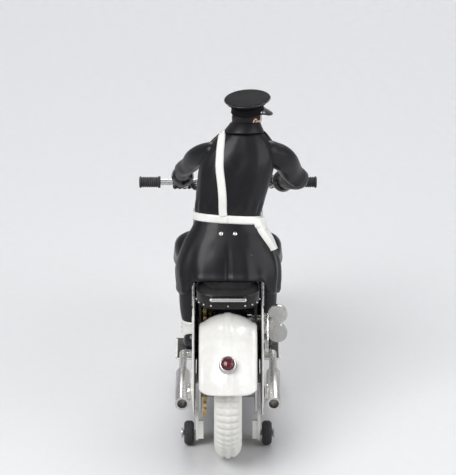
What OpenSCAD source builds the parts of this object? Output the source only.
// Tin clockwork motorcycle with a seated rider. +Y is forward, +X the rider's right, +Z up.
// Lengths along the machine are measured forward from the rear axle, then shifted so that the
// origin lies under the middle of the whole toy, on the ground.

/* [Wheels] */
// Outer radius of both tyres
tyre_r = 12; // [10:0.1:13]
// Width of both tyres
tyre_w = 5; // [3.6:0.2:6]
// Distance between the two axles
wheelbase = 51; // [50:0.5:64]
// Radius of the rim that a tyre sits on
rim_r = 8.2; // [6:0.2:8.6]
// Radius of both axles
axle_r = 0.75; // [0.5:0.05:0.9]

/* [Tinplate] */
// Thickness of the tinplate
tin_t = 0.4; // [0.25:0.05:0.5]
// Room between a motor plate and the shell beside it
body_room = 0.6; // [0.5:0.05:1.2]
// Corner radius of the body's outline
body_corner = 2.2; // [1:0.2:3]

/* [Mudguards] */
// Gap between a tyre and its mudguard
guard_gap = 1.8; // [1.2:0.1:2.4]
// Half-width of the rear mudguard
rear_guard_half_w = 5.2; // [4:0.1:5.4]
// How far the rear mudguard's edges drop below its crown
rear_guard_drop = 2.2; // [1:0.1:2.6]
// Rear mudguard's reach behind the vertical, in degrees
rear_guard_behind = 68; // [40:1:75]
// Rear mudguard's reach ahead of the vertical, in degrees
rear_guard_ahead = 26; // [10:1:28]
// Half-width of the front mudguard
front_guard_half_w = 3.5; // [3:0.1:3.6]
// How far the front mudguard's edges drop below its crown
front_guard_drop = 1.2; // [0.6:0.1:1.6]
// Front mudguard's reach behind the vertical, in degrees
front_guard_behind = 66; // [40:1:75]
// Front mudguard's reach ahead of the vertical, in degrees
front_guard_ahead = 34; // [10:1:50]

/* [Front end] */
// Length of the fork line from the front axle to the handlebar
fork_len = 29; // [28:0.5:34]
// Rake of the fork from the vertical, in degrees
fork_rake = 26.5; // [22:0.5:30]
// Half-distance between the fork blades' inner faces
fork_half_gap = 3.8; // [3.8:0.1:4.4]
// Width of a fork blade
fork_blade_w = 2.4; // [2:0.1:3]
// Radius of the steering stem
stem_r = 1.1; // [0.9:0.1:1.4]
// Radius of the handlebar wire
bar_r = 0.6; // [0.5:0.05:0.7]
// Half-length of the handlebar
bar_half_w = 16.5; // [15:0.5:18]
// Radius of a grip
grip_r = 1.1; // [0.9:0.1:1.3]
// Length of a grip
grip_len = 4; // [3:0.5:5]
// Radius of the headlamp
lamp_r = 3.2; // [2.4:0.2:3.6]
// Depth of the headlamp shell
lamp_depth = 4.4; // [3:0.2:5]

/* [Clockwork] */
// Thickness of a motor plate
plate_t = 0.5; // [0.4:0.05:0.7]
// Module of the great gear and the pinion that it meets
gear_module = 0.5; // [0.42:0.01:0.51]
// Teeth on the rear axle's pinion
axle_teeth = 16; // [15:1:18]
// Teeth on the second gear and on the great gear
gear_teeth = 36; // [34:1:36]
// Teeth on the second arbor's pinion
pinion_teeth = 10; // [9:1:10]
// Play between meshed teeth
backlash = 0.08; // [0.05:0.01:0.12]
// Radius of the second arbor
arbor_r = 0.7; // [0.6:0.05:0.9]
// Radius of the second arbor's ends in the motor plates
pivot_r = 0.5; // [0.4:0.05:0.55]
// Radius of the winding arbor under the great gear
winding_r = 0.9; // [0.8:0.05:1.1]
// Radius of the winding arbor's end that carries the key
key_shaft_r = 1; // [0.8:0.05:1.1]
// Thickness of a gear
gear_t = 0.6; // [0.4:0.05:0.8]
// Direction from the rear axle to the second arbor, in degrees above level
second_angle = 12; // [8:1:14]
// Teeth on the ratchet wheel
ratchet_teeth = 14; // [10:1:18]
// Outer radius of the wound mainspring
spring_r = 8; // [6:0.2:9.4]
// Width of the mainspring
spring_w = 4.9; // [3:0.1:5.8]
// Thickness of the mainspring strip
spring_t = 0.3; // [0.2:0.05:0.4]
// Turns of the mainspring
spring_turns = 5; // [3:1:6]
// Radius of a lobe of the winding key
key_lobe_r = 1.8; // [1.4:0.1:2]

/* [Stand] */
// Radius of a stabiliser roller
roller_r = 2.2; // [1.6:0.1:2.6]
// Width of a stabiliser roller
roller_w = 1.8; // [1:0.1:2]
// Distance of the stabiliser's rollers ahead of the rear axle
stand_y = 3.5; // [2:0.5:6]

/* [Rider] */
// Lean of the rider from the vertical, in degrees
rider_lean = 17; // [10:1:20]
// Sideways sway of the rider above the waist, as a share of the height
rider_sway = 0.2; // [-0.1:0.05:0.25]
// Half-width of the coat at the hips
hip_half_w = 9.6; // [9:0.1:11.6]
// Half-width of the waist
waist_half_w = 6; // [5:0.1:6.6]
// Half-width of the shoulders
shoulder_half_w = 7.2; // [6.4:0.1:7.6]
// Height of the shoulders above the hips, along the back
torso_len = 21.5; // [19:0.5:26]
// Radius of the head
head_r = 2.8; // [2.6:0.1:3.2]
// Radius of the cap's crown
cap_r = 3.9; // [3.6:0.1:4.6]
// Direction the head faces, in degrees to the right
head_turn = 50; // [0:5:70]

/* [Hidden] */
$fn = 48;

// Fits
running_gap = 0.05;   // radial play of a shaft that turns in its bore
seat_gap = 0.01;      // radial play of a pressed fit
part_gap = 0.3;       // space between pieces that move past each other
touch_gap = 0.05;     // space between pieces that are fixed side by side
end_play = 0.15;      // space between an arbor's shoulder and a motor plate
cut = 0.5;            // how far a cutter runs past a face

// Places, as [distance ahead of the rear axle, height]
pressure_angle = 25;
tooth_top = 0.85;     // height of a tooth above the pitch circle, in modules
tooth_root = 1.15;    // depth of a tooth below the pitch circle, in modules
rear_axle_at = [0, tyre_r];
front_axle_at = [wheelbase, tyre_r];
// The second arbor just clears the rear tyre, which settles the first pair's module
second_dist = tyre_r + arbor_r + part_gap;
first_module = 2 * second_dist / (axle_teeth + gear_teeth);
great_dist = (pinion_teeth + gear_teeth) * gear_module / 2;
second_at = rear_axle_at + second_dist * [cos(second_angle), sin(second_angle)];
great_at = second_at + [great_dist, 0];
great_tip_r = (gear_teeth / 2 + tooth_top) * gear_module;
guard_r = tyre_r + guard_gap + tin_t;
rear_reach = max(tyre_r, guard_r * sin(rear_guard_behind));
middle_y = (wheelbase + tyre_r - rear_reach) / 2;

// Widths across the machine
tyre_side_gap = 0.25;                           // between the tyre and the second pinion
pinion_t = gear_t + 0.5;
plate_half_gap = tyre_w / 2 + tyre_side_gap + pinion_t + touch_gap + gear_t + part_gap;
plate_out = plate_half_gap + plate_t;
body_half_w = plate_out + body_room + tin_t;
wall_in = body_half_w - tin_t;
gear_x = -plate_half_gap + part_gap;            // left face of the second gear and axle pinion
great_x = gear_x + gear_t + part_gap;           // left face of the great gear
ratchet_x = great_x + gear_t + 0.2;             // left face of the ratchet wheel
ratchet_t = 0.6;
spring_x = ratchet_x + ratchet_t + part_gap;    // left face of the mainspring
drum_t = 0.9;
drum_r = 2;
drum_x = plate_half_gap - drum_t - 0.4;         // left face of the brake drum

// Pillars join the motor plates round the great gear, which they clear
pillar_r = 0.7;
pillar_pin_r = 0.45;    // the ends that are riveted into the plates
pin_end = 0.2;          // how far an arbor's or pillar's end passes its plate
function pillar_at(angle, room) = great_at + (great_tip_r + pillar_r + room) * [cos(angle), sin(angle)];
pillars = [pillar_at(58, 1.2), pillar_at(-58, 0.7), pillar_at(121, 1.2), pillar_at(-121, 0.7)];
plate_top = 1.4;      // how far the plates reach above the top pillars
plate_foot = 0.8;     // how far the plates reach below the bottom pillars
body_base_z = pillars[3][1] - plate_foot - 0.2 - tin_t;
shelf_z = pillars[2][1] + plate_top + tin_t + part_gap;

// Body outline: an axle lug, a lower edge clear of the stabiliser legs, the belly, the nose behind the
// front wheel, the tank and the seat shelf
nose_y = wheelbase - guard_r;
roller_z = roller_r;
leg_flange_z = roller_z + 3;                    // top of the flange on a stabiliser leg
tank_top_z = shelf_z + 7.1;
tank_back_y = great_at[0] - 4;
belly_y = [tank_back_y - 5.5, nose_y - 5];
body_points = [
    [-3.4, tyre_r - 3.4], [stand_y + 1.8, leg_flange_z + 0.3], [stand_y + 6.5, body_base_z],
    [nose_y - 2.2, body_base_z],
    [nose_y - 0.9, tyre_r + 2], [nose_y + 1, shelf_z - 2], [nose_y + 6.4, shelf_z + 1.5],
    [nose_y + 5, tank_top_z - 1.4], [nose_y - 2, tank_top_z], [tank_back_y + 3, tank_top_z - 2],
    [tank_back_y, shelf_z], [3, shelf_z], [-1, tyre_r + 4.6], [-3.4, tyre_r + 3.4]
];

// Motor plate: from the rear axle forward, with a pillar near each corner
plate_points = [
    [-3, tyre_r - 3], [7, pillars[3][1] + 0.6], pillars[3] + [0, -plate_foot],
    pillars[1] + [0.6, -plate_foot], pillars[1] + [1.3, 0.4], [pillars[0][0] + 1.3, great_at[1]],
    pillars[0] + [1.3, 0.4], pillars[0] + [0, plate_top], pillars[2] + [1, plate_top],
    pillars[2] + [-1.4, 1.2], second_at + [-4, 5.5], [-1, tyre_r + 3.3], [-3, tyre_r + 2.6]
];

// Steering line, from the front axle up and back
fork_dir = [-sin(fork_rake), cos(fork_rake)];
bar_at = front_axle_at + fork_len * fork_dir;
grip_at = bar_at + [-0.8, -0.4];
bar_bend_x = 6.2;
bar_rise_x = 3.6;
grip_x = bar_half_w - grip_len;
bar_end_x = bar_half_w - 0.5;
lamp_at = [nose_y + 7.6, tank_top_z - 2];

// Stop lever
lever_at = second_at + [0.4, 5.9];
lever_pad_at = second_at + [3.3, 1.5];
lever_tip_at = lever_at + [-9, -1.6];
lever_t = 0.7;
lever_shaft_r = 0.6;

// Rider, measured along the leaning back from the hips
hip_at = [14, shelf_z + 6.4];
saddle_top_z = shelf_z + 3.5;
saddle_y = [3.5, tank_back_y - body_corner - 0.2];
saddle_half_w = body_half_w;
hem_z = -6.2;
waist_z = 7.4;
hand_r = 1.7;
arm_gap = 0.1;         // between an arm's open end and the coat's side at the shoulder
leg_x = body_half_w + 0.1;
knee_at = [32, shelf_z - 2.5];
ankle_at = [32, tyre_r - 2];
board_z = tyre_r / 2;
board_y = [27.5, 37];
board_x = 9.8;

// ---- Shapes ----

function unit(v) = v / norm(v);
function left_of(v) = [-v[1], v[0]];
function at(list, i) = list[(i + len(list)) % len(list)];

// A closed outline moved inwards by t; the points run anticlockwise
function inset(p, t) = [
    for (i = [0 : len(p) - 1])
        let (n = left_of(unit(p[i] - at(p, i - 1))), m = left_of(unit(at(p, i + 1) - p[i])))
        p[i] + t * (n + m) / (1 + n * m)
];

// A closed outline with each corner turned into a short curve that starts r from the corner
function rounded(p, r, steps = 4) = [
    for (i = [0 : len(p) - 1])
        let (
            before = at(p, i - 1) - p[i],
            after = at(p, i + 1) - p[i],
            a = p[i] + unit(before) * min(r, norm(before) / 2.1),
            c = p[i] + unit(after) * min(r, norm(after) / 2.1)
        )
        for (k = [0 : steps])
            let (s = k / steps) (1 - s) * (1 - s) * a + 2 * s * (1 - s) * p[i] + s * s * c
];

// Involute gear outline with tooth 0 pointing along the first axis
function involute(base_r, roll) = let (a = roll * 180 / PI)
    base_r * [cos(a) + roll * sin(a), sin(a) - roll * cos(a)];
function turned(v, a) = [v[0] * cos(a) - v[1] * sin(a), v[0] * sin(a) + v[1] * cos(a)];
function gear_points(teeth, tooth_module) = let (
    pitch_r = teeth * tooth_module / 2,
    base_r = pitch_r * cos(pressure_angle),
    tip_r = pitch_r + tooth_top * tooth_module,
    root_r = pitch_r - tooth_root * tooth_module,
    tip_roll = sqrt(pow(tip_r / base_r, 2) - 1),
    start_roll = root_r > base_r ? sqrt(pow(root_r / base_r, 2) - 1) : 0,
    pitch_roll = tan(pressure_angle),
    pitch_turn = pitch_roll * 180 / PI - pressure_angle,
    half_tooth = 90 / teeth - backlash / pitch_r * 45 / PI,
    flank = [
        for (k = [0 : 4]) turned(involute(base_r, start_roll + (tip_roll - start_roll) * k / 4),
            -half_tooth - pitch_turn)
    ],
    foot = root_r > base_r ? [] : [root_r * unit(flank[0])],
    side = concat(foot, flank)
) [
    for (tooth = [0 : teeth - 1]) each [
        for (p = side) turned(p, tooth * 360 / teeth),
        for (k = [len(side) - 1 : -1 : 0])
            turned([side[k][0], -side[k][1]], tooth * 360 / teeth)
    ]
];

// Everything is drawn from the rear axle's ground point and then moved to the toy's middle
module from_rear() translate([0, -middle_y, 0]) children();

// A flat outline in the side plane, thickened from x0 to x1
module side_plate(x0, x1) translate([x0, 0, 0]) rotate([90, 0, 90]) linear_extrude(x1 - x0) children();

// A rod across the machine from x0 to x1
module cross_rod(x0, x1, r, place) translate([x0, place[0], place[1]]) rotate([0, 90, 0])
    cylinder(h = x1 - x0, r = r);

// A rod between two points
module rod(a, b, r) {
    d = b - a;
    translate(a) rotate([0, acos(d[2] / norm(d)), atan2(d[1], d[0])]) cylinder(h = norm(d), r = r);
}

// A turned shape about a cross axis; its outline is drawn as [radius, x]
module turned_across(place) translate([0, place[0], place[1]]) rotate([0, 90, 0]) rotate_extrude()
    children();

// A spur gear with a round bore, with one tooth pointing at the angle given
module gear(teeth, tooth_module, x0, t, place, angle, bore_r) {
    difference() {
        translate([0, place[0], place[1]]) side_plate(x0, x0 + t) rotate(angle)
            polygon(gear_points(teeth, tooth_module));
        cross_rod(x0 - cut, x0 + t + cut, bore_r, place);
    }
}

// A domed strip that follows a wheel, from one angle to another, forward of the vertical
module mudguard(centre, half_w, drop, behind, ahead) {
    steps = 10;
    outer = [for (k = [-steps : steps]) [guard_r - drop * pow(k / steps, 2), half_w * k / steps]];
    inner = [for (k = [steps : -1 : -steps])
        [guard_r - tin_t - drop * pow(k / steps, 2), half_w * k / steps]];
    translate([0, centre[0], centre[1]]) rotate([90 - ahead, 0, 0]) rotate([0, 90, 0])
        rotate([0, 0, 90]) rotate_extrude(angle = ahead + behind) polygon(concat(outer, inner));
}

// ---- Body ----

module body_shell(side) {
    outline = rounded(body_points, body_corner);
    mirror([side < 0 ? 1 : 0, 0, 0]) difference() {
        side_plate(touch_gap / 2, body_half_w) polygon(outline);
        side_plate(-cut, wall_in) polygon(inset(outline, tin_t));
        // the rear wheel, its mudguard and the open underside
        translate([-cut, -cut - 5, 0]) cube([wall_in + cut, tank_back_y + 5 - 1.4 + cut, shelf_z + 2]);
        translate([-cut, -5, 0])
            cube([wall_in + cut, belly_y[1] + touch_gap + 5, body_base_z + tin_t + 0.6]);
        // steering stem
        translate([0, front_axle_at[0], front_axle_at[1]]) rotate([fork_rake, 0, 0])
            cylinder(h = fork_len, r = stem_r + touch_gap);
        cross_rod(wall_in - cut, body_half_w + cut, axle_r + 0.3, rear_axle_at);
        if (side > 0) {
            cross_rod(wall_in - cut, body_half_w + cut, key_shaft_r + part_gap, great_at);
            cross_rod(wall_in - cut, body_half_w + cut, lever_shaft_r + 0.2, lever_at);
        }
    }
}

module left_shell() color("ivory") from_rear() body_shell(-1);
module right_shell() color("ivory") from_rear() body_shell(1);

module belly_plate() color("silver") from_rear()
    translate([-wall_in + touch_gap, belly_y[0], body_base_z])
        cube([2 * (wall_in - touch_gap), belly_y[1] - belly_y[0], tin_t]);

module motor_plate(x0) difference() {
    side_plate(x0, x0 + plate_t) polygon(rounded(plate_points, 1.2, 3));
    cross_rod(x0 - cut, x0 + plate_t + cut, axle_r + running_gap, rear_axle_at);
    cross_rod(x0 - cut, x0 + plate_t + cut, pivot_r + running_gap, second_at);
    cross_rod(x0 - cut, x0 + plate_t + cut, (x0 > 0 ? key_shaft_r : arbor_r) + running_gap, great_at);
    if (x0 > 0) cross_rod(x0 - cut, x0 + plate_t + cut, lever_shaft_r + running_gap, lever_at);
    for (p = pillars) cross_rod(x0 - cut, x0 + plate_t + cut, pillar_pin_r + seat_gap, p);
}

module motor_plate_left() color("lightsteelblue") from_rear() motor_plate(-plate_out);
module motor_plate_right() color("lightsteelblue") from_rear() motor_plate(plate_half_gap);

module plate_pillars() color("goldenrod") from_rear()
    for (p = pillars) {
        cross_rod(-plate_half_gap, plate_half_gap, pillar_r, p);
        cross_rod(-plate_out - pin_end, plate_out + pin_end, pillar_pin_r, p);
    }

module rear_mudguard() color("white") from_rear()
    mudguard(rear_axle_at, rear_guard_half_w, rear_guard_drop, rear_guard_behind, rear_guard_ahead);

module front_mudguard() color("white") from_rear()
    mudguard(front_axle_at, front_guard_half_w, front_guard_drop, front_guard_behind,
        front_guard_ahead);

// The tail lamp stands on the rear mudguard, square to its surface
tail_angle = 46;
tail_lamp_r = 1.5;
tail_lens_r = 1.1;
module on_guard(h) from_rear() translate([0, rear_axle_at[0], rear_axle_at[1]])
    rotate([tail_angle, 0, 0]) translate([0, 0, guard_r + h]) children();
module tail_lamp_housing() color("silver") difference() {
    on_guard(touch_gap) cylinder(h = 1.1, r = tail_lamp_r);
    on_guard(0.6) cylinder(h = 2, r = tail_lens_r + touch_gap);
}
module tail_lamp_lens() color("darkred") on_guard(0.65) {
    cylinder(h = 0.6, r = tail_lens_r);
    translate([0, 0, 0.6]) cylinder(h = 0.4, r1 = tail_lens_r, r2 = tail_lens_r - 0.5);
}

// ---- Front end ----

module along_fork(h) translate([0, front_axle_at[0], front_axle_at[1]]) rotate([fork_rake, 0, 0])
    translate([0, 0, h]) children();

crown_h = guard_r + 0.7;
crown_t = 0.8;
blade_t = 0.5;
module front_fork() color("silver") from_rear() difference() {
    along_fork(0) {
        for (s = [-1, 1]) translate([s * (fork_half_gap + blade_t / 2), 0, 0]) {
            translate([-blade_t / 2, -fork_blade_w / 2, 0])
                cube([blade_t, fork_blade_w, crown_h + tin_t]);
            rotate([0, 90, 0]) translate([0, 0, -blade_t / 2])
                cylinder(h = blade_t, r = fork_blade_w / 2);
        }
        translate([-fork_half_gap - blade_t, -fork_blade_w / 2, crown_h])
            cube([2 * (fork_half_gap + blade_t), fork_blade_w, crown_t]);
    }
    cross_rod(-bar_half_w, bar_half_w, axle_r + seat_gap, front_axle_at);
}

module steering_stem() color("silver") from_rear() difference() {
    union() {
        along_fork(crown_h + crown_t) cylinder(h = fork_len - crown_h - crown_t, r = stem_r);
        cross_rod(-1.6, 1.6, bar_r + 0.6, bar_at);
    }
    cross_rod(-3, 3, bar_r + seat_gap, bar_at);
}

// The bar is bent from one wire, with round bends
module handlebar() color("silver") from_rear() for (s = [0, 1]) mirror([s, 0, 0]) {
    bend_in = [bar_rise_x, bar_at[0], bar_at[1]];
    bend_out = [bar_bend_x, grip_at[0], grip_at[1]];
    points = [
        [0, bar_at[0], bar_at[1]], bend_in, bend_out, [bar_end_x - bar_r, grip_at[0], grip_at[1]]
    ];
    for (i = [0 : 2]) hull() {
        blob(points[i], bar_r);
        blob(points[i + 1], bar_r);
    }
}

module grip(side) mirror([side < 0 ? 1 : 0, 0, 0]) difference() {
    cross_rod(grip_x, bar_half_w, grip_r, grip_at);
    cross_rod(grip_x - cut, bar_end_x, bar_r + seat_gap, grip_at);
}
module left_grip() color("black") from_rear() grip(-1);
module right_grip() color("black") from_rear() grip(1);

lamp_stub_r = 0.7;
lamp_rim_t = 0.7;
lamp_rim_w = 0.45;    // how far the rim laps over the lens
module along_lamp() from_rear() translate([0, lamp_at[0], lamp_at[1]]) rotate([-90, 0, 0]) children();
module headlamp_shell() color("silver") along_lamp() difference() {
    union() {
        rotate_extrude() polygon([
            [0, 0], for (a = [0 : 10 : 90]) [lamp_r * pow(sin(a), 0.7), lamp_depth * (1 - cos(a))],
            [0, lamp_depth]
        ]);
        translate([0, 0, -1.4]) cylinder(h = 2, r = lamp_stub_r);
    }
    translate([0, 0, 1]) cylinder(h = lamp_depth, r1 = lamp_r * 0.5, r2 = lamp_r * 1.02 - tin_t);
}
module headlamp_rim() color("silver") along_lamp() translate([0, 0, lamp_depth + touch_gap / 2])
    difference() {
        cylinder(h = lamp_rim_t, r = lamp_r + 0.25);
        translate([0, 0, -cut]) cylinder(h = 2, r = lamp_r - lamp_rim_w);
    }
module headlamp_lens() color("lightyellow") along_lamp() translate([0, 0, lamp_depth + touch_gap / 2]) {
    lens_r = lamp_r - lamp_rim_w - 2 * seat_gap;
    cylinder(h = 0.5, r = lens_r);
    translate([0, 0, 0.5]) cylinder(h = 0.35, r1 = lens_r, r2 = lamp_r - 1.3);
}

axle_head_r = 1.3;
module front_axle() color("silver") from_rear() {
    end_x = fork_half_gap + blade_t + touch_gap;
    cross_rod(-end_x, end_x, axle_r, front_axle_at);
    for (s = [0, 1]) mirror([s, 0, 0]) cross_rod(end_x, end_x + 0.6, axle_head_r, front_axle_at);
}

// ---- Fittings on the body ----

rail_r = 0.35;
rail_half_w = 3;
rail_z = saddle_top_z - 1.2;
module saddle() color("black") from_rear() difference() {
    translate([-saddle_half_w, saddle_y[0], shelf_z + touch_gap]) intersection() {
        cube([2 * saddle_half_w, saddle_y[1] - saddle_y[0], saddle_top_z - shelf_z - touch_gap]);
        linear_extrude(5) polygon(rounded([
            [0, 0], [2 * saddle_half_w, 0], [2 * saddle_half_w - 2.4, saddle_y[1] - saddle_y[0]],
            [2.4, saddle_y[1] - saddle_y[0]]
        ], 3));
    }
    for (s = [-1, 1]) rod([s * rail_half_w, saddle_y[0] - 1, rail_z],
        [s * rail_half_w, saddle_y[0] + 1.6, rail_z], rail_r + seat_gap);
}

module saddle_rail() color("silver") from_rear() {
    rail_y = saddle_y[0] - 0.7;
    rod([-rail_half_w, rail_y, rail_z], [rail_half_w, rail_y, rail_z], rail_r);
    for (s = [-1, 1]) {
        translate([s * rail_half_w, rail_y, rail_z]) sphere(rail_r);
        rod([s * rail_half_w, rail_y, rail_z], [s * rail_half_w, saddle_y[0] + 1.5, rail_z], rail_r);
    }
}

silencer_r = 1.3;
pipe_r = 0.7;
silencer_x = body_half_w + silencer_r + pipe_r;
silencer_z = tyre_r - 3.8;
silencer_y = [3, 16];
cone_len = 2;
module silencer(side) mirror([side < 0 ? 1 : 0, 0, 0]) {
    bend = [silencer_x, 25, silencer_z];
    difference() {
        rod([silencer_x, silencer_y[0], silencer_z], [silencer_x, silencer_y[1], silencer_z], silencer_r);
        rod([silencer_x, silencer_y[0] - 1, silencer_z], [silencer_x, silencer_y[0] + 3, silencer_z],
            silencer_r - tin_t);
    }
    translate([silencer_x, silencer_y[1], silencer_z]) rotate([-90, 0, 0])
        cylinder(h = cone_len, r1 = silencer_r, r2 = pipe_r);
    rod([silencer_x, silencer_y[1] + cone_len, silencer_z], bend, pipe_r);
    translate(bend) sphere(pipe_r);
    rod(bend, [body_half_w + touch_gap, bend[1], silencer_z], pipe_r);
}
module left_silencer() color("silver") from_rear() silencer(-1);
module right_silencer() color("silver") from_rear() silencer(1);

// A stabiliser leg is a channel: a web beside the motor plate, and below it a flange turned inwards
leg_t = wall_in - plate_out - 2 * touch_gap;
web_x = plate_out + touch_gap;
flange_w = 1.4;
roller_x = web_x + leg_t + part_gap;
roller_edge = 0.4;
roller_pin_r = 0.5;
module stabiliser_leg(side) mirror([side < 0 ? 1 : 0, 0, 0]) difference() {
    union() {
        side_plate(web_x, web_x + leg_t) polygon(rounded([
            [stand_y - 1.3, roller_z - 1.2], [stand_y + 1.3, roller_z - 1.2],
            [stand_y + 1.6, tyre_r + 1.5], [-2, tyre_r + 2.4], [-2, tyre_r - 2.2],
            [stand_y - 1.6, tyre_r - 3.4]
        ], 0.8, 3));
        translate([web_x + leg_t - flange_w, stand_y - 1.3, roller_z - 0.6])
            cube([flange_w - leg_t / 2, leg_t, leg_flange_z - roller_z + 0.6]);
    }
    cross_rod(plate_out - cut, roller_x, axle_r + 0.3, rear_axle_at);
    cross_rod(plate_out - cut, roller_x + 1, roller_pin_r + seat_gap, [stand_y, roller_z]);
}
module left_stabiliser_leg() color("white") from_rear() stabiliser_leg(-1);
module right_stabiliser_leg() color("white") from_rear() stabiliser_leg(1);

module roller_pins() color("silver") from_rear()
    for (s = [0, 1]) mirror([s, 0, 0]) {
        head_x = roller_x + roller_w + end_play;
        cross_rod(web_x - pin_end, head_x, roller_pin_r, [stand_y, roller_z]);
        cross_rod(head_x, head_x + 0.35, roller_pin_r + 0.4, [stand_y, roller_z]);
    }

module roller(side) mirror([side < 0 ? 1 : 0, 0, 0]) difference() {
    turned_across([stand_y, roller_z]) polygon([
        [0, roller_x], [roller_r - roller_edge, roller_x], [roller_r, roller_x + roller_edge],
        [roller_r, roller_x + roller_w - roller_edge], [roller_r - roller_edge, roller_x + roller_w],
        [0, roller_x + roller_w]
    ]);
    cross_rod(roller_x - cut, roller_x + roller_w + cut, roller_pin_r + running_gap, [stand_y, roller_z]);
}
module left_roller() color("black") from_rear() roller(-1);
module right_roller() color("black") from_rear() roller(1);

module footboard(side) mirror([side < 0 ? 1 : 0, 0, 0])
    translate([body_half_w + touch_gap, board_y[0], board_z - tin_t]) linear_extrude(tin_t)
        polygon(rounded([
            [0, 0], [board_x - body_half_w, 0], [board_x - body_half_w, board_y[1] - board_y[0]],
            [0, board_y[1] - board_y[0]]
        ], 0.9, 3));
module left_footboard() color("white") from_rear() footboard(-1);
module right_footboard() color("white") from_rear() footboard(1);

// ---- Wheels ----

module tyre(place) difference() {
    turned_across(place) {
        translate([tyre_r - tyre_w / 2, 0]) circle(tyre_w / 2);
        translate([rim_r + seat_gap, -tyre_w / 2 + 0.3])
            square([tyre_r - tyre_w / 2 - rim_r, tyre_w - 0.6]);
    }
    cross_rod(-tyre_w, tyre_w, rim_r + seat_gap, place);
}
module front_tyre() color("white") from_rear() tyre(front_axle_at);
module rear_tyre() color("white") from_rear() tyre(rear_axle_at);

disc_w = tyre_w / 2 - 0.2;
hub_r = 2.6;
dish_x = 1.5;                                   // where the disc bulges out
well_x = 0.6;                                   // where the disc meets its rim
module wheel_disc(side, place, bore_r) mirror([side < 0 ? 1 : 0, 0, 0]) turned_across(place) {
    translate([bore_r, touch_gap / 2]) square([0.7, disc_w - touch_gap / 2]);
    polygon([
        [bore_r, 0.9], [hub_r, dish_x], [rim_r - 2.2, dish_x], [rim_r - 1.2, well_x], [rim_r, well_x],
        [rim_r, well_x + tin_t], [rim_r - 1, well_x + tin_t], [rim_r - 2, dish_x + tin_t],
        [hub_r, dish_x + tin_t], [bore_r, 0.9 + tin_t]
    ]);
    translate([rim_r - tin_t, touch_gap / 2]) square([tin_t, disc_w - touch_gap / 2]);
}
module front_wheel_left_disc() color("silver") from_rear()
    wheel_disc(-1, front_axle_at, axle_r + running_gap);
module front_wheel_right_disc() color("silver") from_rear()
    wheel_disc(1, front_axle_at, axle_r + running_gap);
module rear_wheel_left_disc() color("silver") from_rear()
    wheel_disc(-1, rear_axle_at, axle_r + seat_gap);
module rear_wheel_right_disc() color("silver") from_rear()
    wheel_disc(1, rear_axle_at, axle_r + seat_gap);

axle_end_x = body_half_w + 1;
module rear_axle() color("silver") from_rear()
    cross_rod(-axle_end_x, axle_end_x, axle_r, rear_axle_at);
collar_r = 1.5;
module axle_collars() color("silver") from_rear()
    for (s = [0, 1]) mirror([s, 0, 0]) difference() {
        cross_rod(body_half_w + part_gap, axle_end_x - 0.1, collar_r, rear_axle_at);
        cross_rod(0, axle_end_x + 1, axle_r + seat_gap, rear_axle_at);
    }

// ---- Clockwork ----

axle_pinion_angle = second_angle;
second_gear_angle = second_angle + 180 + 180 / gear_teeth;
second_pinion_angle = 0;
great_gear_angle = 180 + 180 / gear_teeth;

module axle_pinion() color("goldenrod") from_rear()
    gear(axle_teeth, first_module, gear_x, gear_t, rear_axle_at, axle_pinion_angle, axle_r + seat_gap);
module second_gear() color("goldenrod") from_rear()
    gear(gear_teeth, first_module, gear_x, gear_t, second_at, second_gear_angle, arbor_r + seat_gap);
module second_pinion() color("goldenrod") from_rear()
    gear(pinion_teeth, gear_module, gear_x + gear_t + touch_gap, pinion_t, second_at,
        second_pinion_angle, arbor_r + seat_gap);
module second_arbor() color("silver") from_rear() {
    cross_rod(-plate_half_gap + end_play, plate_half_gap - end_play, arbor_r, second_at);
    cross_rod(-plate_out - pin_end, plate_out + pin_end, pivot_r, second_at);
}
module brake_drum() color("goldenrod") from_rear() difference() {
    cross_rod(drum_x, drum_x + drum_t, drum_r, second_at);
    cross_rod(drum_x - cut, drum_x + drum_t + cut, arbor_r + seat_gap, second_at);
}

collet_r = 1.7;                                 // the part of the arbor that the mainspring winds round
key_end_x = axle_end_x + 0.6;
module great_gear() color("goldenrod") from_rear()
    gear(gear_teeth, gear_module, great_x, gear_t, great_at, great_gear_angle,
        winding_r + running_gap);

module winding_arbor() color("silver") from_rear() {
    cross_rod(-plate_out - pin_end, -plate_half_gap + end_play, arbor_r, great_at);
    cross_rod(-plate_half_gap + end_play, spring_x - end_play, winding_r, great_at);
    cross_rod(spring_x - end_play, plate_half_gap - end_play, collet_r, great_at);
    cross_rod(plate_half_gap - end_play, key_end_x, key_shaft_r, great_at);
}

ratchet_r = 3.4;
ratchet_depth = 0.6;
module ratchet_wheel() color("silver") from_rear() difference() {
    translate([0, great_at[0], great_at[1]]) side_plate(ratchet_x, ratchet_x + ratchet_t) polygon([
        for (i = [0 : ratchet_teeth - 1]) each [
            turned([ratchet_r, 0], i * 360 / ratchet_teeth),
            turned([ratchet_r - ratchet_depth, 0], i * 360 / ratchet_teeth)
        ]
    ]);
    cross_rod(ratchet_x - cut, ratchet_x + ratchet_t + cut, winding_r + seat_gap, great_at);
}

// The click is a springy finger fixed to the great gear; its tip rests in a ratchet tooth
click_turn = 360 / ratchet_teeth * 3;
module click() color("silver") from_rear() translate([0, great_at[0], great_at[1]])
    side_plate(great_x + gear_t + touch_gap / 2, ratchet_x + ratchet_t - 0.1) rotate(click_turn) {
        polygon([
            [ratchet_r - 0.35, 0.12], [ratchet_r + 0.4, 0.12], [ratchet_r + 2.4, 3.2],
            [ratchet_r + 1.8, 3.6], [ratchet_r + 0.15, 0.9], [ratchet_r - 0.25, 0.5]
        ]);
        translate([ratchet_r + 2.1, 3.8]) circle(0.9);
    }

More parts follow.
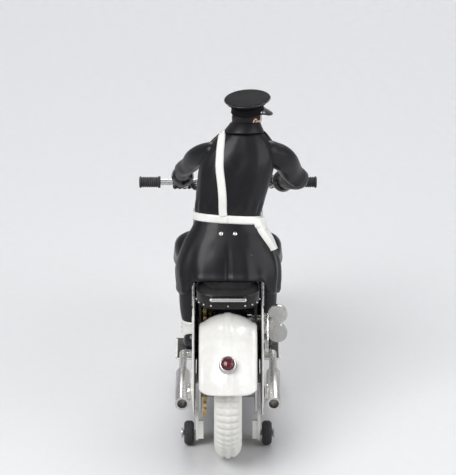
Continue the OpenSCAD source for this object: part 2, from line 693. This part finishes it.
key_hub_r = 1.5;
key_t = 0.8;
key_lobe_z = 1.9;     // height of a lobe's middle above the key's axis
module winding_key() color("silver") from_rear() difference() {
    union() {
        cross_rod(body_half_w + part_gap, key_end_x + 0.3, key_hub_r, great_at);
        translate([key_end_x + 1.3, great_at[0] + key_t / 2, great_at[1]]) rotate([90, 0, 0]) {
            for (s = [-1, 1]) translate([0, s * key_lobe_z, 0]) cylinder(h = key_t, r = key_lobe_r);
            translate([-1.4, -key_hub_r, 0]) cube([1.6, 2 * key_hub_r, key_t]);
        }
    }
    cross_rod(0, key_end_x, key_shaft_r + seat_gap, great_at);
}

function spring_radius(turn) = collet_r + 0.35 + (spring_r - collet_r - 0.35) * turn / spring_turns;
hook_turns = 0.16;
hook_angle = atan2(pillars[0][1] - great_at[1], pillars[0][0] - great_at[0]);
hook_r = norm(pillars[0] - great_at) - pillar_r - spring_t - 0.1;
steps_per_turn = 24;
function spring_edge(k, extra) = let (
    turn = k / steps_per_turn,
    tail = max(0, (turn - spring_turns + hook_turns) / hook_turns),
    r = spring_radius(turn) + (hook_r - spring_r) * tail * tail + extra
) r * [cos(hook_angle + (turn - spring_turns) * 360), sin(hook_angle + (turn - spring_turns) * 360)];
module mainspring() color("steelblue") from_rear() translate([0, great_at[0], great_at[1]])
    side_plate(spring_x, spring_x + spring_w) polygon(concat(
        [for (k = [0 : spring_turns * steps_per_turn]) spring_edge(k, spring_t)],
        [for (k = [spring_turns * steps_per_turn : -1 : 0]) spring_edge(k, 0)]
    ));

module stop_lever() color("silver") from_rear() {
    cross_rod(drum_x + touch_gap, body_half_w + part_gap + lever_t, lever_shaft_r, lever_at);
    side_plate(drum_x + touch_gap, drum_x + drum_t - touch_gap) lever_arm(lever_at, lever_pad_at, 0.8, 0.6);
    side_plate(body_half_w + part_gap, body_half_w + part_gap + lever_t) {
        lever_arm(lever_at, lever_tip_at, 1, 0.6);
        translate(lever_tip_at) circle(1.2);
    }
}
module lever_arm(a, b, r1, r2) {
    n = left_of(unit(b - a));
    translate(a) circle(r1);
    translate(b) circle(r2);
    polygon([a + r1 * n, a - r1 * n, b - r2 * n, b + r2 * n]);
}

// ---- Rider ----

// Along the leaning back: the origin is at the hips and +Z runs up to the neck
module on_back() from_rear() translate([0, hip_at[0], hip_at[1]]) rotate([-rider_lean, 0, 0]) children();

// How far the trunk stands to the right at height z above the hips
function sway(z) = rider_sway * max(0, z - waist_z);

// A flat oval slice of the trunk at height z
module slice(half_w, half_d, z, less) translate([sway(z), 0, z]) linear_extrude(0.05) {
    r = half_d - less;
    for (s = [-1, 1]) translate([s * (half_w - half_d), 0]) circle(r, $fn = 28);
}

hip_half_d = 6.2;
waist_half_d = 4.2;
chest_half_d = 4.4;
module trunk(less) {
    hull() {
        slice(hip_half_w - 1.4, hip_half_d + 0.2, hem_z - less, less);
        slice(hip_half_w, hip_half_d, -1, less);
    }
    hull() {
        slice(hip_half_w, hip_half_d, -1, less);
        slice(waist_half_w, waist_half_d, waist_z, less);
    }
    hull() {
        slice(waist_half_w, waist_half_d, waist_z, less);
        slice(shoulder_half_w, chest_half_d, torso_len - 5, less);
        slice(shoulder_half_w - 1.2, 3, torso_len - less, less);
        slice(2.6, 2.5, torso_len + 1.2 + less * 3, less);
    }
}

module coat_half(front) difference() {
    on_back() difference() {
        trunk(0);
        trunk(tin_t);
        translate([-20, front ? -20 + touch_gap / 2 : -touch_gap / 2, -20]) cube([40, 20, 60]);
    }
    // room for the saddle, the mudguard and the tank
    from_rear() translate([-body_half_w - part_gap, -20, 0])
        cube([2 * (body_half_w + part_gap), 60, saddle_top_z + part_gap]);
    if (front) from_rear() translate([-body_half_w - part_gap, tank_back_y - 3, 0])
        cube([2 * (body_half_w + part_gap), 60, tank_top_z + part_gap]);
}
module rider_coat_back() color("dimgray") coat_half(false);
module rider_coat_front() color("dimgray") coat_half(true);

// The head and cap stand upright above the neck
nose_r = 0.5;
neck_r = 1.7;
head_at = hip_at + (torso_len + 3.4) * [sin(rider_lean), cos(rider_lean)];
head_x = sway(torso_len + 3.4);
module on_head() from_rear() translate([head_x, head_at[0], head_at[1]]) rotate([0, 0, -head_turn])
    children();

module rider_head() color("peachpuff") on_head() {
    sphere(head_r);
    translate([0, head_r - 0.1, -0.5]) sphere(nose_r);
    rotate([0, 0, head_turn]) rotate([-rider_lean, 0, 0]) translate([0, 0, -head_r - 1.4])
        cylinder(h = 3, r = neck_r);
}

cap_z = 1.2;
module rider_cap() color("black") on_head() difference() {
    union() {
        rotate_extrude() polygon([
            [0, cap_z], [head_r + 0.35, cap_z], [head_r + 0.1, cap_z + 1.7], [cap_r, cap_z + 2.5],
            [cap_r - 0.9, cap_z + 3.3], [0, cap_z + 3.3]
        ]);
        // the peak
        translate([0, head_r - 0.4, cap_z]) rotate([-12, 0, 0]) cylinder(h = tin_t, r = 2.6);
    }
    sphere(head_r + touch_gap);
}

module blob(place, r) translate(place) sphere(r, $fn = 20);
shoulder_h = torso_len - 3.2;
shoulder_y = hip_at[0] + shoulder_h * sin(rider_lean);
shoulder_z = hip_at[1] + shoulder_h * cos(rider_lean);
shoulder_r = 2.3;
hand_x = bar_bend_x + hand_r + 0.6;

// An arm is a tube from the shoulder to the wrist, open where it meets the coat
module arm_tube(shoulder, elbow, wrist, elbow_r, less) {
    hull() {
        blob(shoulder, shoulder_r - less);
        blob(elbow, elbow_r - less);
    }
    hull() {
        blob(elbow, elbow_r - less);
        blob(wrist, 1.2 - less);
    }
}

// The coat's side leans with the sway, and so does the plane where the arm is open
module arm(side, elbow, elbow_r) mirror([side < 0 ? 1 : 0, 0, 0]) {
    lean = side * rider_sway;
    side_x = shoulder_half_w + side * sway(shoulder_h);
    shoulder = [side_x, shoulder_y, shoulder_z];
    hand = [hand_x, grip_at[0], grip_at[1]];
    wrist = hand + unit(elbow - hand) * (hand_r + 0.4);
    difference() {
        union() {
            arm_tube(shoulder, elbow, wrist, elbow_r, 0);
            hull() blob(hand, hand_r);
        }
        arm_tube(shoulder - [2 * tin_t, 0, 0], elbow, wrist + unit(wrist - elbow) * -0.6, elbow_r, tin_t);
        translate([side_x + arm_gap, 0, shoulder_z]) rotate([0, atan(lean / cos(rider_lean)), 0])
            translate([-20, -20, -25]) cube([20, 80, 50]);
        cross_rod(0, 30, bar_r + seat_gap, grip_at);
    }
}
module left_arm() color("dimgray") from_rear()
    arm(-1, [8.6, shoulder_y + 8.4, shoulder_z - 6.4], 1.7);
module right_arm() color("dimgray") from_rear()
    arm(1, [14, shoulder_y + 6.5, shoulder_z - 7.4], 1.9);

thigh_r = 3.6;
knee_r = 2.8;
ankle_r = 1.9;
toe_r = 1.5;

// A leg is a pressing that is open towards the body
module leg_press(less) {
    hull() {
        blob([leg_x, hip_at[0] + 5, hip_at[1] - 1.2], thigh_r - less);
        blob([leg_x, knee_at[0], knee_at[1]], knee_r - less);
    }
    hull() {
        blob([leg_x, knee_at[0], knee_at[1]], knee_r - less);
        blob([leg_x, ankle_at[0], ankle_at[1]], ankle_r - less);
    }
    hull() {
        blob([leg_x, ankle_at[0] - 0.6, board_z + 2], ankle_r - less);
        blob([leg_x, ankle_at[0] + 3, board_z + 1.6], toe_r - less);
    }
}
module leg(side) mirror([side < 0 ? 1 : 0, 0, 0]) difference() {
    leg_press(0);
    leg_press(tin_t);
    // the coat's skirt
    translate([0, middle_y, 0]) on_back() hull() {
        slice(hip_half_w - 1.4, hip_half_d + 0.2, hem_z - cut, -touch_gap);
        slice(hip_half_w, hip_half_d, -1, -touch_gap);
        slice(hip_half_w, hip_half_d, waist_z, -touch_gap);
    }
    translate([leg_x - 20, 0, 0]) cube([20, 80, 60]);
    cube([40, 80, board_z + touch_gap]);
}
module left_leg() color("dimgray") from_rear() leg(-1);
module right_leg() color("dimgray") from_rear() leg(1);

left_shell();
right_shell();
belly_plate();
motor_plate_left();
motor_plate_right();
plate_pillars();
rear_mudguard();
tail_lamp_housing();
tail_lamp_lens();
front_fork();
steering_stem();
front_mudguard();
headlamp_shell();
headlamp_rim();
headlamp_lens();
handlebar();
left_grip();
right_grip();
saddle();
saddle_rail();
left_silencer();
right_silencer();
left_stabiliser_leg();
right_stabiliser_leg();
roller_pins();
left_footboard();
right_footboard();
front_axle();
rider_coat_back();
rider_coat_front();
rider_head();
rider_cap();
left_arm();
right_arm();
left_leg();
right_leg();
front_tyre();
front_wheel_left_disc();
front_wheel_right_disc();
rear_tyre();
rear_wheel_left_disc();
rear_wheel_right_disc();
rear_axle();
axle_collars();
axle_pinion();
second_arbor();
second_gear();
second_pinion();
brake_drum();
great_gear();
click();
winding_arbor();
ratchet_wheel();
winding_key();
mainspring();
left_roller();
right_roller();
stop_lever();
